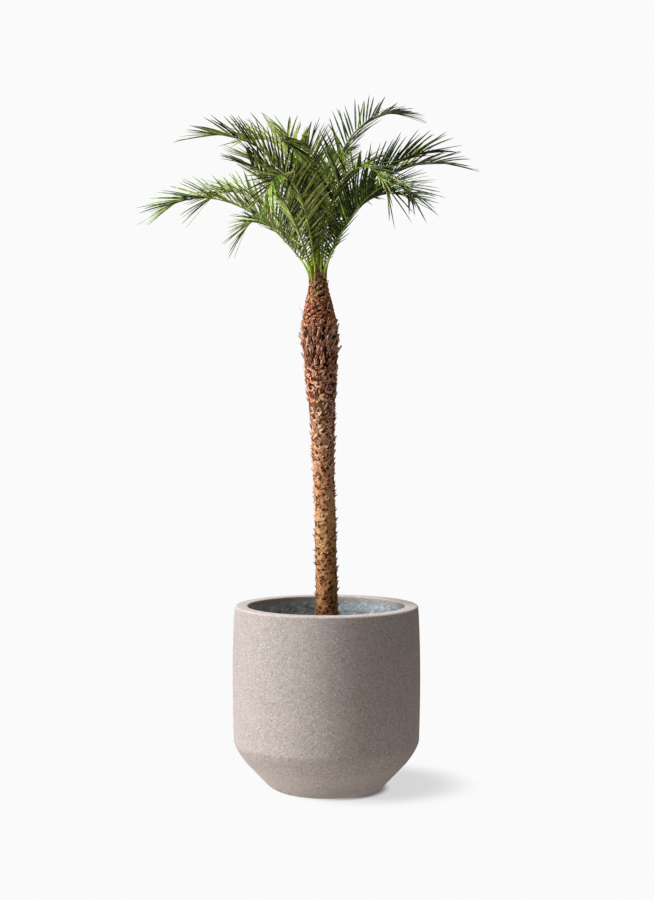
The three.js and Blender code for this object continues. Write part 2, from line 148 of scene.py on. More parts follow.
ray = add_node(tree, "ShaderNodeLightPath")
seen = add_node(tree, "ShaderNodeMixShader", links={
    0: ray.outputs["Is Camera Ray"], 1: bounce.outputs[0], 2: sweep.outputs[0]})
add_node(tree, "ShaderNodeOutputMaterial", links={"Surface": seen.outputs[0]})
floor.data.materials.append(paper)

# Two large soft windows on the left, a little in front: one high, one near the ground.
for name, energy, turn, rise in (("high_window", 3.9, 200, 60), ("low_window", 3.3, 192, 6)):
    key_data = bpy.data.lights.new(name, "SUN")
    key_data.energy = energy
    key_data.angle = math.radians(24)
    key = bpy.data.objects.new(name, key_data)
    turn, rise = math.radians(turn), math.radians(rise)
    key_from = Vector((math.cos(turn) * math.cos(rise), math.sin(turn) * math.cos(rise),
                       math.sin(rise)))
    key.rotation_euler = key_from.to_track_quat("Z", "Y").to_euler()
    scene.collection.objects.link(key)


# ---------------------------- planter
# A round floor planter of fibre-stone: stone powder and resin laid up with glass fibre in a
# mould, then sanded matt, so fine pale, ochre and dark grains show in a warm taupe body.
# The inside below the lip is brushed with a blue-grey sealing coat.
# Radii from the axis, each with its height or its rounding.
HEIGHT = 0.505
FOOT, FOOT_OUT, FOOT_UP = 0.1285, 0.038, 0.0167
CREASE, CREASE_HEIGHT = 0.2224, 0.076
CORNER, CORNER_HEIGHT, CORNER_TOP, SOFT_TOP = 0.2549, 0.1178, 0.1301, 0.137
BELLY, BELLY_HEIGHT = 0.2585, 0.312
RIM, RIM_ROUND = 0.2530, 0.006
MOUTH, MOUTH_ROUND = 0.217, 0.0035
WALL, FLOOR, CAVITY_ROUND, CAVITY_FOOT = 0.016, 0.026, 0.140, 0.155
LIP, LIP_SLOPE = 0.058, 0.015


def planter_wall(z):
    """Radius of the outside above the rounded corner."""
    if z < BELLY_HEIGHT:
        down = (BELLY_HEIGHT - z) / (BELLY_HEIGHT - CORNER_HEIGHT)
        return BELLY - (BELLY - CORNER) * down ** 2
    return BELLY - (BELLY - RIM) * ((z - BELLY_HEIGHT) / (HEIGHT - BELLY_HEIGHT)) ** 2


def planter_cavity(z):
    """Radius of the inside, one wall thickness in and rounded in to its floor."""
    blend = min(max((z - FLOOR) / CAVITY_ROUND, 0), 1)
    inside = planter_wall(max(z, CORNER_TOP)) - WALL
    return CAVITY_FOOT + (inside - CAVITY_FOOT) * math.sin(blend * math.pi / 2)


outline = []
for i in range(9):
    t = i / 8
    outline.append(((1 - t) ** 2 * FOOT + 2 * t * (1 - t) * (FOOT + FOOT_OUT * 0.55)
                    + t * t * (FOOT + FOOT_OUT), t * t * FOOT_UP))
for t in (0.25, 0.5, 0.75, 0.92, 0.98):
    outline.append((FOOT + FOOT_OUT + (CREASE - FOOT - FOOT_OUT) * t,
                    FOOT_UP + (CREASE_HEIGHT - FOOT_UP) * t))
# The rounded corner starts a hair above the crease.
start_r, start_z = CREASE + 0.0008, CREASE_HEIGHT + 0.0006
outline.append((start_r, start_z))
for i in range(1, 15):
    t = i / 14
    outline.append(((1 - t) ** 2 * start_r + 2 * t * (1 - t) * CORNER
                    + t * t * planter_wall(SOFT_TOP),
                    (1 - t) ** 2 * start_z + 2 * t * (1 - t) * CORNER_HEIGHT
                    + t * t * SOFT_TOP))
for z in (0.148, 0.170, 0.195, 0.230, 0.270, 0.312, 0.355, 0.395, 0.435, 0.470):
    outline.append((planter_wall(z), z))
for i in range(9):
    turn = i / 8 * math.pi / 2
    outline.append((RIM - RIM_ROUND + RIM_ROUND * math.cos(turn),
                    HEIGHT - RIM_ROUND + RIM_ROUND * math.sin(turn)))
for i in range(5):
    turn = i / 4 * math.pi / 2
    outline.append((MOUTH + MOUTH_ROUND - MOUTH_ROUND * math.sin(turn),
                    HEIGHT - MOUTH_ROUND + MOUTH_ROUND * math.cos(turn)))
for down in (0.008, 0.016, 0.030, 0.044, LIP):
    outline.append((MOUTH, HEIGHT - down))
for z in (HEIGHT - LIP - LIP_SLOPE, 0.400, 0.340, 0.230, 0.160, 0.120, 0.090, 0.060, 0.040,
          FLOOR):
    outline.append((planter_cavity(z), z))


def pull_up(body, rings):
    """Extrudes a ring up through rings of centre x, radius and height, and closes both ends."""
    bpy.ops.object.mode_set(mode="EDIT")
    bpy.ops.mesh.select_all(action="SELECT")
    for (x0, r0, z0), (x1, r1, z1) in zip(rings, rings[1:]):
        bpy.ops.mesh.extrude_region_move(
            TRANSFORM_OT_translate={"value": (x1 - x0, 0, z1 - z0)})
        bpy.ops.transform.resize(value=(r1 / r0, r1 / r0, 1), center_override=(x1, 0, z1))
    bpy.ops.mesh.edge_face_add()
    bpy.ops.mesh.select_all(action="DESELECT")
    tube = bmesh.from_edit_mesh(body.data)
    for edge in tube.edges:
        if edge.is_boundary:
            edge.select_set(True)
    bmesh.update_edit_mesh(body.data)
    bpy.ops.mesh.edge_face_add()
    bpy.ops.mesh.select_all(action="SELECT")
    bpy.ops.mesh.normals_make_consistent(inside=False)
    bpy.ops.object.mode_set(mode="OBJECT")


bpy.ops.object.select_all(action="DESELECT")
bpy.ops.mesh.primitive_circle_add(vertices=160, radius=FOOT)
planter = bpy.context.object
planter.name = "planter_shell"
pull_up(planter, [(0, r, z) for r, z in outline])
bpy.ops.object.shade_smooth_by_angle(angle=math.radians(30))


def new_finish(name, roughness, specular=0.5):
    """A new material, its node tree, its shader and the place on the piece."""
    material = bpy.data.materials.new(name)
    material.use_nodes = True
    tree = material.node_tree
    skin = tree.nodes["Principled BSDF"]
    skin.inputs["Roughness"].default_value = roughness
    skin.inputs["Specular IOR Level"].default_value = specular
    return material, tree, skin, add_node(tree, "ShaderNodeTexCoord").outputs["Object"]


stone, tree, skin, at = new_finish("sanded_fibre_stone", 0.82, 0.35)
# Grains are 1 to 2 mm in the cast, drawn 2.4 mm apart so that they show at a step away.
grain = add_node(tree, "ShaderNodeTexVoronoi", links={"Vector": at},
                 values={"Scale": 1 / 0.0024})
pick = add_node(tree, "ShaderNodeSeparateColor", links={0: grain.outputs["Color"]})
kinds = add_node(tree, "ShaderNodeValToRGB", links={0: pick.outputs[0]}, stops=[
    (0.0, "5a5350"), (0.07, "7e7672"), (0.30, "98908b"), (0.62, "a59d99"), (0.90, "b3aba7"),
    (0.92, "bb9e80"), (0.94, "b6aeab"), (0.985, "d4cec8")])
mottle = add_node(tree, "ShaderNodeTexNoise", links={"Vector": at},
                  values={"Scale": 14.0, "Detail": 5.0, "Roughness": 0.55})
body = add_node(tree, "ShaderNodeValToRGB", links={0: mottle.outputs[0]}, stops=[
    (0.30, "938b87"), (0.52, "99918d"), (0.75, "9e9793")])
speckled = add_node(tree, "ShaderNodeMix", data_type="RGBA", values={0: 0.54},
                    links={6: body.outputs[0], 7: kinds.outputs[0]})
# The sloping foot is painted paler than the wall, painted light bounced up from the floor, and the rim
# is paler along its top.
split = add_node(tree, "ShaderNodeSeparateXYZ", links={0: at})
foot = add_node(tree, "ShaderNodeMapRange", links={"Value": split.outputs[2]}, values={
    "From Min": CREASE_HEIGHT - 0.0010, "From Max": CREASE_HEIGHT + 0.0010,
    "To Min": 0.04, "To Max": 0.0})
top = add_node(tree, "ShaderNodeMapRange", links={"Value": split.outputs[2]}, values={
    "From Min": HEIGHT - 0.0050, "From Max": HEIGHT - 0.0005, "To Max": 0.22})
foot = add_node(tree, "ShaderNodeMath", operation="ADD", links={0: foot.outputs[0], 1: top.outputs[0]})
pale_foot_and_rim_top = add_node(tree, "ShaderNodeMix", data_type="RGBA", values={7: linear("e6dcd6")},
                  links={0: foot.outputs[0], 6: speckled.outputs[2]})
# Inside: the sealing coat starts about 14 mm under the rim, along a hand-brushed edge.
INSIDE, COAT_DROP, COAT_WOBBLE, COAT_FOOT = 0.2442, 0.0095, 0.009, 0.300
flat = add_node(tree, "ShaderNodeCombineXYZ", links={0: split.outputs[0], 1: split.outputs[1]})
radius = add_node(tree, "ShaderNodeVectorMath", operation="LENGTH", links={0: flat.outputs[0]})
inner = add_node(tree, "ShaderNodeMath", operation="LESS_THAN", values={1: INSIDE},
                 links={0: radius.outputs["Value"]})
wobble = add_node(tree, "ShaderNodeTexNoise", links={"Vector": at},
                  values={"Scale": 38.0, "Detail": 4.0})
edge_z = add_node(tree, "ShaderNodeMath", operation="MULTIPLY_ADD",
                  values={1: COAT_WOBBLE}, links={0: wobble.outputs[0], 2: split.outputs[2]})
under = add_node(tree, "ShaderNodeMath", operation="LESS_THAN", values={1: HEIGHT - COAT_DROP},
                 links={0: edge_z.outputs[0]})
above_foot = add_node(tree, "ShaderNodeMath", operation="GREATER_THAN",
                      values={1: COAT_FOOT}, links={0: split.outputs[2]})
coated = add_node(tree, "ShaderNodeMath", operation="MULTIPLY",
                  links={0: inner.outputs[0], 1: under.outputs[0]})
coated = add_node(tree, "ShaderNodeMath", operation="MULTIPLY",
                  links={0: coated.outputs[0], 1: above_foot.outputs[0]})
# Brush strokes run round the wall, 5 to 20 mm wide.
strokes = add_node(tree, "ShaderNodeMapping", links={"Vector": at}, values={"Scale": (1.0, 1.0, 2.0)})
brushed = add_node(tree, "ShaderNodeTexNoise", links={"Vector": strokes.outputs[0]},
                   values={"Scale": 34.0, "Detail": 6.0, "Roughness": 0.62, "Distortion": 1.6})
paint = add_node(tree, "ShaderNodeValToRGB", links={0: brushed.outputs[0]}, stops=[
    (0.30, "6c7a83"), (0.48, "929fa7"), (0.66, "c4ccd1")])
finish = add_node(tree, "ShaderNodeMix", data_type="RGBA",
                  links={0: coated.outputs[0], 6: pale_foot_and_rim_top.outputs[2], 7: paint.outputs[0]})
tree.links.new(finish.outputs[2], skin.inputs["Base Color"])
pits = add_node(tree, "ShaderNodeTexNoise", links={"Vector": at},
                values={"Scale": 360.0, "Detail": 3.0, "Roughness": 0.6})
height = add_node(tree, "ShaderNodeMix", data_type="FLOAT",
                  links={0: coated.outputs[0], 2: pits.outputs[0], 3: brushed.outputs[0]})
depth = add_node(tree, "ShaderNodeMapRange", links={"Value": coated.outputs[0]},
                 values={"To Min": 0.0004, "To Max": 0.0080})
relief = add_node(tree, "ShaderNodeBump", values={"Strength": 0.5},
                  links={"Height": height.outputs[0], "Distance": depth.outputs[0]})
tree.links.new(relief.outputs[0], skin.inputs["Normal"])
planter.data.materials.append(stone)
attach(planter, "root")
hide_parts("planter")


# ---------------------------- potting mix
# Moist potting mix, filled to 73 mm under the rim: dark peat with clods, bark chips and a
# little perlite, level round the trunk and a touch lower at the wall.
SOIL, SOIL_DEPTH, EDGE_DROP, LEVEL, SETTLED = 0.432, 0.090, 0.007, 0.060, 0.0045
rng = np.random.default_rng(5)
# The mix stays a hair clear of the wall.
rim_radius = planter_cavity(SOIL - EDGE_DROP) - 0.0009
base_radius = planter_cavity(SOIL - SOIL_DEPTH) - 0.001


def soil_top(r):
    """Level out to LEVEL from the middle, then falling to the wall."""
    return SOIL - EDGE_DROP + EDGE_DROP * min(1, (rim_radius - r) / (rim_radius - LEVEL))


bpy.ops.object.select_all(action="DESELECT")
bpy.ops.mesh.primitive_circle_add(vertices=144, radius=base_radius, fill_type="NGON",
                                  location=(0, 0, SOIL - SOIL_DEPTH))
soil = bpy.context.object
soil.name = "potting_mix"
bpy.ops.object.transform_apply(location=True)
bpy.ops.object.mode_set(mode="EDIT")
bpy.ops.mesh.select_all(action="SELECT")
bpy.ops.mesh.extrude_region_move(
    TRANSFORM_OT_translate={"value": (0, 0, SOIL_DEPTH - EDGE_DROP)})
grow = rim_radius / base_radius
bpy.ops.transform.resize(value=(grow, grow, 1), center_override=(0, 0, SOIL - EDGE_DROP))
INSETS = 44
for _ in range(INSETS):
    bpy.ops.mesh.inset(thickness=rim_radius / (INSETS + 1.0), depth=0)
bpy.ops.mesh.poke()
bpy.ops.mesh.select_all(action="SELECT")
bpy.ops.mesh.normals_make_consistent(inside=False)
bpy.ops.object.mode_set(mode="OBJECT")
for vertex in soil.data.vertices:
    x, y, z = vertex.co
    r = math.hypot(x, y)
    if z > SOIL - EDGE_DROP - 0.001 and r < rim_radius - 0.001:
        vertex.co.z = soil_top(r) - SETTLED
surface = soil.vertex_groups.new(name="surface")
surface.add([v.index for v in soil.data.vertices
             if v.co.z > SOIL - 0.02 and math.hypot(v.co.x, v.co.y) < rim_radius - 0.003],
            1.0, "REPLACE")


def roughen(piece, kind, grain, amount, **settings):
    """Pushes the active piece's surface in and out by lumps of a size in metres."""
    lumps = bpy.data.textures.new(f"{piece.name}_{grain}", kind)
    lumps.noise_scale = grain
    push = piece.modifiers.new("lumps", "DISPLACE")
    push.texture = lumps
    push.texture_coords = "GLOBAL"
    push.strength = amount
    for name, value in settings.items():
        setattr(push, name, value)
    bpy.ops.object.modifier_apply(modifier="lumps")


for grain, amount in ((0.035, 0.0050), (0.011, 0.0045), (0.004, 0.0022)):
    roughen(soil, "CLOUDS", grain, amount, direction="Z", vertex_group="surface")
bpy.ops.object.shade_smooth_by_angle(angle=math.radians(55))

peat, tree, skin, at = new_finish("moist_peat_mix", 0.93, 0.25)
# Crumbs of 3 to 12 mm.
crumbs = add_node(tree, "ShaderNodeTexNoise", links={"Vector": at},
                  values={"Scale": 150.0, "Detail": 6.0, "Roughness": 0.7})
browns = add_node(tree, "ShaderNodeValToRGB", links={0: crumbs.outputs[0]}, stops=[
    (0.32, "1d140e"), (0.50, "35261b"), (0.62, "4a3727"), (0.74, "6a523b")])
tree.links.new(browns.outputs[0], skin.inputs["Base Color"])
relief = add_node(tree, "ShaderNodeBump", values={"Strength": 0.8, "Distance": 0.003},
                  links={"Height": crumbs.outputs[0]})
tree.links.new(relief.outputs[0], skin.inputs["Normal"])
soil.data.materials.append(peat)
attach(soil, "root")
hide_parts("potting_soil")


def joined_piece(name, points, faces, slots, materials, angle):
    """One piece of many like parts, smoothed where faces meet below the angle."""
    mesh = bpy.data.meshes.new(name)
    mesh.from_pydata(points, [], faces)
    mesh.polygons.foreach_set("material_index", slots)
    mesh.update()
    made = bpy.data.objects.new(name, mesh)
    scene.collection.objects.link(made)
    for material in materials:
        mesh.materials.append(material)
    bpy.ops.object.select_all(action="DESELECT")
    made.select_set(True)
    bpy.context.view_layer.objects.active = made
    bpy.ops.object.shade_smooth_by_angle(angle=math.radians(angle))
    return made


def copies(name, template, places, materials):
    """One joined mesh of copies of a modelled piece, one for each 4x4 matrix in places."""
    corners = np.array([v.co for v in template.data.vertices])
    corners = np.hstack([corners, np.ones((len(corners), 1))])
    points = np.vstack([(corners @ np.array(m).T)[:, :3] for m in places])
    sides = [list(p.vertices) for p in template.data.polygons]
    faces = [[v + i * len(corners) for v in f] for i in range(len(places)) for f in sides]
    slots = [p.material_index for p in template.data.polygons] * len(places)
    return joined_piece(name, points.tolist(), faces, slots, materials, 35)


def flecked(name, roughness, scale, stops):
    """A matt finish whose tone changes from fleck to fleck."""
    material, tree, skin, at = new_finish(name, roughness)
    fleck = add_node(tree, "ShaderNodeTexNoise", links={"Vector": at},
                     values={"Scale": scale, "Detail": 3.0})
    tint = add_node(tree, "ShaderNodeValToRGB", links={0: fleck.outputs[0]}, stops=stops)
    tree.links.new(tint.outputs[0], skin.inputs["Base Color"])
    return material


# Bark chips and perlite: one lump modelled, then scattered over the mix from 45 mm out. The
# chips are 7 to 17 mm long and the grains of perlite 3 to 5 mm.
for name, count, low, high, thin, colours in (
        ("bark_chips", 420, 0.0035, 0.0085, 0.42, ("3b271a", "6b4a30", "8a6a49")),
        ("perlite", 130, 0.0014, 0.0026, 0.9, ("b9b4a8", "d6d2c8", "e6e3dc"))):
    bpy.ops.object.select_all(action="DESELECT")
    bpy.ops.mesh.primitive_ico_sphere_add(subdivisions=1, radius=1.0)
    lump = bpy.context.object
    bpy.ops.object.mode_set(mode="EDIT")
    bpy.ops.mesh.select_all(action="SELECT")
    bpy.ops.transform.vertex_random(offset=0.28, seed=3)
    bpy.ops.transform.resize(value=(1.0, 0.72, thin))
    bpy.ops.mesh.normals_make_consistent(inside=False)
    bpy.ops.object.mode_set(mode="OBJECT")
    spots = []
    for _ in range(count):
        r = 0.045 + (rim_radius - 0.055) * math.sqrt(rng.random())
        turn = rng.random() * 2 * math.pi
        size = low + (high - low) * rng.random() ** 2
        spin = Matrix.Rotation(rng.random() * 6.28, 4, "Z") @ Matrix.Rotation(
            rng.normal() * 0.5, 4, "X")
        lying = Vector((r * math.cos(turn), r * math.sin(turn),
                        soil_top(r) - 0.0035 + size * thin * 0.35))
        spots.append(Matrix.Translation(lying) @ spin @ Matrix.Diagonal((size, size, size, 1)))
    chip = flecked(f"{name}_matt", 0.9, 95.0, list(zip((0.35, 0.5, 0.68), colours)))
    scattered = copies(name, lump, spots, [chip])
    bpy.data.objects.remove(lump)
    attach(scattered, "root")


# ---------------------------- trunk
# One slim palm stem, 58 mm across, that swells to 100 mm under the crown, where the torn
# stalks of old leaves still cover it. Its cork has its colours by height: brown where the
# soil keeps it damp, olive tan, pinkish tan, then paler and redder up to the crown.
TRUNK_FOOT, TRUNK_TIP, CORE_FOOT, CORE_RINGS = 0.4323, 1.450, 0.418, 200
FOOT_X, LEAN_X, LEAN_POWER = 0.0025, -0.0275, 1.2
# Heights with the radius at each.
TAPER = ((0.432, 0.035), (0.490, 0.030), (0.860, 0.029), (1.014, 0.033), (1.179, 0.046),
         (1.240, 0.0505), (1.300, 0.046), (1.391, 0.026), (1.421, 0.023), (1.450, 0.017))


def trunk_x(z):
    share = min(max((z - SOIL) / (TRUNK_TIP - SOIL), 0), 1)
    return FOOT_X + LEAN_X * share ** LEAN_POWER


def trunk_radius(z):
    return float(np.interp(z, *zip(*TAPER)))


def core_radius(z):
    """Under the torn stalks and scales of the swelling the core lies 4 to 7 mm deeper."""
    neck = min(max((z - 1.28) / 0.05, 0), 1)
    return trunk_radius(z) - 0.001 - 0.006 * math.exp(-((z - 1.205) / 0.105) ** 4) - 0.003 * neck


bpy.ops.object.select_all(action="DESELECT")
foot_radius = core_radius(TRUNK_FOOT)
bpy.ops.mesh.primitive_circle_add(vertices=84, radius=foot_radius,
                                  location=(trunk_x(TRUNK_FOOT), 0, CORE_FOOT))
trunk = bpy.context.object
trunk.name = "trunk_core"
bpy.ops.object.transform_apply(location=True)
rings = [(trunk_x(CORE_FOOT), foot_radius, CORE_FOOT)]
for i in range(1, CORE_RINGS + 1):
    z = CORE_FOOT + (TRUNK_TIP - CORE_FOOT) * i / CORE_RINGS
    rings.append((trunk_x(z), core_radius(z), z))
pull_up(trunk, rings)
fine = trunk.modifiers.new("fine", "SUBSURF")
fine.levels = fine.render_levels = 1
bpy.ops.object.modifier_apply(modifier="fine")
for kind, grain, amount in (("VORONOI", 0.016, 0.0044), ("CLOUDS", 0.008, 0.0032),
                            ("CLOUDS", 0.003, 0.0014)):
    roughen(trunk, kind, grain, amount)
bpy.ops.object.shade_smooth_by_angle(angle=math.radians(60))

# The same cork finish serves the core, the leaf bases and the torn stalks, with the colours by height.
# From 1.10 m up, where the torn stalks and scales cover it, the core is painted dark: painted shade in
# the gaps between them.
BARK = ((0.43, "7a5a3e"), (0.56, "c09064"), (0.74, "e0b482"), (0.88, "dca680"),
        (1.00, "fccead"), (1.12, "e0ae92"), (1.34, "e8ba9e"), (1.42, "b48e70"))
CORE = BARK[:4] + ((1.00, "b89078"), (1.10, "4c2e22"), (1.22, "301d14"), (1.38, "5c3e2e"))


def cork_finish(name, low, high, bands, tones, squeezed=1.0, bleach_and_highlight_share=0.0):
    """Matt, fibrous cork: browns by height with 2 to 6 mm flecks, which lie flatter the more they are
    squeezed and stretch up the stem below 1. The last argument says how far its pale patches go
    towards a pale pink cream: partly bleached fibre, partly painted highlights."""
    material, tree, skin, at = new_finish(name, 0.9, 0.2)
    split = add_node(tree, "ShaderNodeSeparateXYZ", links={0: at})
    share = add_node(tree, "ShaderNodeMapRange", links={"Value": split.outputs[2]},
                     values={"From Min": low, "From Max": high})
    band = [(max(0.0, min(1.0, (z - low) / (high - low))), colour)
            for z, colour in bands if low - 0.06 <= z <= high + 0.06]
    body = add_node(tree, "ShaderNodeValToRGB", links={0: share.outputs[0]}, stops=band)
    along = add_node(tree, "ShaderNodeMapping", links={"Vector": at},
                     values={"Scale": (1.0, 1.0, squeezed)})
    flecks = add_node(tree, "ShaderNodeTexNoise", links={"Vector": along.outputs[0]},
                      values={"Scale": 190.0, "Detail": 6.0, "Roughness": 0.66})
    shade = add_node(tree, "ShaderNodeValToRGB", links={0: flecks.outputs[0]},
                     stops=list(zip((0.33, 0.47, 0.64), tones)))
    toned = add_node(tree, "ShaderNodeMix", data_type="RGBA", blend_type="MULTIPLY",
                     values={0: 1.0}, links={6: body.outputs[0], 7: shade.outputs[0]})
    patches = add_node(tree, "ShaderNodeTexNoise", links={"Vector": at},
                       values={"Scale": 48.0, "Detail": 2.0})
    # Pale patches: partly bleached fibre, partly painted highlights.
    pale_patch_share = add_node(tree, "ShaderNodeMapRange", links={"Value": patches.outputs[0]},
                    values={"From Min": 0.49, "From Max": 0.36, "To Max": bleach_and_highlight_share})
    toned = add_node(tree, "ShaderNodeMix", data_type="RGBA",
                     links={0: pale_patch_share.outputs[0], 6: toned.outputs[2]}, values={7: linear("fde6d2")})
    rusty = add_node(tree, "ShaderNodeMapRange", links={"Value": patches.outputs[0]},
                     values={"From Min": 0.55, "From Max": 0.72, "To Max": 0.6})
    warm = add_node(tree, "ShaderNodeMix", data_type="RGBA", blend_type="MULTIPLY",
                    links={0: rusty.outputs[0], 6: toned.outputs[2]}, values={7: linear("c98660")})
    tree.links.new(warm.outputs[2], skin.inputs["Base Color"])
    relief = add_node(tree, "ShaderNodeBump", values={"Strength": 0.9, "Distance": 0.0026},
                      links={"Height": flecks.outputs[0]})
    tree.links.new(relief.outputs[0], skin.inputs["Normal"])
    return material


trunk.data.materials.append(cork_finish(
    "palm_cork", 0.43, 1.45, CORE, ("6a5646", "d6ccc2", "ffffff"), squeezed=3.0))
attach(trunk, "root")
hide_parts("trunk")

# Old leaf bases: each cut leaf left a thorn-like stub, wide where it clasps the stem and drawn up to a
# point. Its faces turned down the stem get a darker material: painted shade on the underside. They
# wind round the stem at 137.5 degrees from one to the next.
bpy.ops.object.select_all(action="DESELECT")
bpy.ops.mesh.primitive_cone_add(vertices=10, radius1=1.0, depth=1.0, location=(0, 0, 0.5))
stub = bpy.context.object
bpy.ops.object.transform_apply(location=True)
bpy.ops.object.mode_set(mode="EDIT")
shape = bmesh.from_edit_mesh(stub.data)


def ring_cut(spot, facing):
    """Cuts new edges into the shape where the plane through the spot passes."""
    bmesh.ops.bisect_plane(shape, geom=shape.verts[:] + shape.edges[:] + shape.faces[:],
                           plane_co=spot, plane_no=facing)


for cut in (0.22, 0.45, 0.72):
    ring_cut((0, 0, cut), (0, 0, 1))
for vertex in shape.verts:
    x, y, z = vertex.co
    pinch = 1.0 - 0.26 * math.sin(math.pi * min(z, 0.9))
    below = 1.25 if z < 0.1 else 0.95
    vertex.co = (x * pinch, y * (0.65 if y > 0 else below) * pinch + 0.95 * z ** 1.5, z)
shape.normal_update()
# Faces turned down the stem take the second slot: painted shade on the underside.
for face in shape.faces:
    face.material_index = 1 if face.normal.y < -0.30 else 0
bmesh.update_edit_mesh(stub.data)
bpy.ops.object.mode_set(mode="OBJECT")


def on_trunk(z, turn, sink, lean, spin, size):
    """A matrix that stands a piece's +Z out of the trunk, leaning up, with its +Y up the stem."""
    out = Vector((math.cos(turn), math.sin(turn), 0))
    side = Vector((-math.sin(turn), math.cos(turn), 0))
    base = Vector((trunk_x(z), 0, z)) + out * (trunk_radius(z) - sink)
    turned = Matrix((side, Vector((0, 0, 1)), out)).transposed().to_4x4()
    return (Matrix.Translation(base) @ turned @ Matrix.Rotation(-lean, 4, "X")
            @ Matrix.Rotation(spin, 4, "Z") @ Matrix.Diagonal((*size, 1)))


GOLDEN = math.radians(137.508)
# Zones by height: where each starts and ends, how far its pale patches go (partly bleached fibre,
# partly painted highlights), its middle tone, and the tones of the painted shade on its undersides.
UNDERSIDE_SHADE_WARM, UNDERSIDE_SHADE_DUSKY = ("44301f", "7e604a", "ac8f76"), ("281b13", "5c4233", "907560")
zones = {"brown": (0.43, 0.56, 0.0, "dccfc2", UNDERSIDE_SHADE_WARM), "olive": (0.54, 0.88, 0.15, "dccfc2", UNDERSIDE_SHADE_WARM),
         "tan": (0.85, 1.08, 0.60, "f4e2d0", UNDERSIDE_SHADE_DUSKY), "red": (1.05, 1.20, 0.35, "fadcc4", UNDERSIDE_SHADE_DUSKY)}
stub_places = {zone: [] for zone in zones}
z, k = 0.447, 0
while z < 1.165:
    turn = k * GOLDEN + rng.normal() * 0.10
    zone = "brown" if z < 0.55 else "olive" if z < 0.86 else "tan" if z < 1.06 else "red"
    wide = (0.0068 + 0.0030 * rng.random()) * min(trunk_radius(z) / 0.030, 1.2)
    tall = wide * (0.80 + 0.4 * rng.random())
    out = 0.0070 + 0.0048 * rng.random()
    if rng.random() < 0.64:
        stub_places[zone].append(on_trunk(
            z + rng.normal() * 0.002, turn, 0.0026, rng.normal() * 0.12, rng.normal() * 0.18,
            (wide, tall, out)))
    # Between the thorns lie worn ones, broad and low.
    for _ in range(2):
        broad = (0.0080 + 0.0042 * rng.random()) * min(trunk_radius(z) / 0.030, 1.15)
        stub_places[zone].append(on_trunk(
            z + rng.normal() * 0.004, rng.random() * 6.283, 0.0024, rng.normal() * 0.10,
            rng.normal() * 0.30, (broad, broad * (0.62 + 0.3 * rng.random()),
                                  0.0036 + (0.0040 if z < 0.90 else 0.0064) * rng.random())))
    z += 0.0029 * (0.8 + 0.4 * rng.random()) * (1.0 if z < 1.04 else 0.75)
    k += 1
for zone, places in stub_places.items():
    low, high, pale_patch_share, middle, underside_shade_tones = zones[zone]
    cork = cork_finish(f"leaf_base_cork_{zone}", low, high, BARK,
                       ("5c4a3e", middle, "eef6fa"), bleach_and_highlight_share=pale_patch_share)
    painted_shade_underside = cork_finish(f"leaf_base_underside_{zone}", low, high, BARK, underside_shade_tones)
    bases = copies(f"leaf_bases_{zone}", stub, places, [cork, painted_shade_underside])
    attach(bases, "root")

# Where stubs broke off lately, the scar is yellow-green or rust red. Each has its height, the
# way it faces in degrees, and its size.
for kind, colours, spots in (
        ("fresh", ("8f8a3a", "b9ad4c", "d2c46a"), (
            (1.046, -103, 0.0060), (1.029, -130, 0.0062), (1.067, -107, 0.0042),
            (0.985, -143, 0.0040), (1.362, -93, 0.0056), (1.345, -121, 0.0048),
            (1.381, -72, 0.0044), (1.370, -130, 0.0040), (1.010, -84, 0.0036),
            (1.038, 62, 0.0055), (1.353, 85, 0.0052), (1.018, 148, 0.0050))),
        ("rusty", ("8a4020", "b5582e", "c9784a"), (
            (1.082, -150, 0.0065), (1.066, -125, 0.0050), (1.100, -75, 0.0045),
            (1.020, -60, 0.0040), (1.090, 40, 0.0058), (1.240, -100, 0.0040)))):
    places = [on_trunk(z, math.radians(turn), 0.0004, 0.25, 0.3, (size, size * 0.8, 0.0042))
              for z, turn, size in spots]
    scar = flecked(f"{kind}_scar", 0.8, 260.0, list(zip((0.36, 0.50, 0.64), colours)))
    marks = copies(f"{kind}_scars", stub, places, [scar, scar])
    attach(marks, "root")
bpy.data.objects.remove(stub)

# On the swelling the old stalks are torn off higher up and stand as flat, splintered straps;
# above it they lie close as scales, and round the fronds' feet as brown sheaths.
bpy.ops.object.select_all(action="DESELECT")
bpy.ops.mesh.primitive_cube_add(size=1.0)
strap = bpy.context.object
bpy.ops.object.mode_set(mode="EDIT")
bpy.ops.mesh.select_all(action="SELECT")
bpy.ops.transform.translate(value=(0, 0.5, 0))
shape = bmesh.from_edit_mesh(strap.data)
for cut in (0.3, 0.6, 0.85):
    ring_cut((0, cut, 0), (0, 1, 0))
ring_cut((0, 0, 0), (1, 0, 0))
for vertex in shape.verts:
    x, y, z = vertex.co
    narrow = 1.0 - 0.30 * min(y, 1.0) ** 0.8
    ragged = (0.0, 0.16, -0.14)[(x > 0.1) + 2 * (x < -0.1)] if y > 0.98 else 0.0
    crown = (0.35 if abs(x) < 0.1 else 0.0) * (1 if z > 0 else 0.4)
    vertex.co = (x * narrow, y + ragged, z * (1.0 - 0.3 * y) + crown + 0.8 * y ** 2)
for face in shape.faces:
    face.material_index = 1 if face.calc_center_median().y > 0.62 else 0
bmesh.update_edit_mesh(strap.data)
bpy.ops.object.mode_set(mode="OBJECT")
strap_places = {"dark": [], "brown": [], "light": []}


def strap_on(kind, z, turn, size, sink, lean, spin=0.0):
    """Lays a strap up the trunk, its top leaning out."""
    strap_places[kind].append(on_trunk(z, turn, sink, -lean, spin, size))


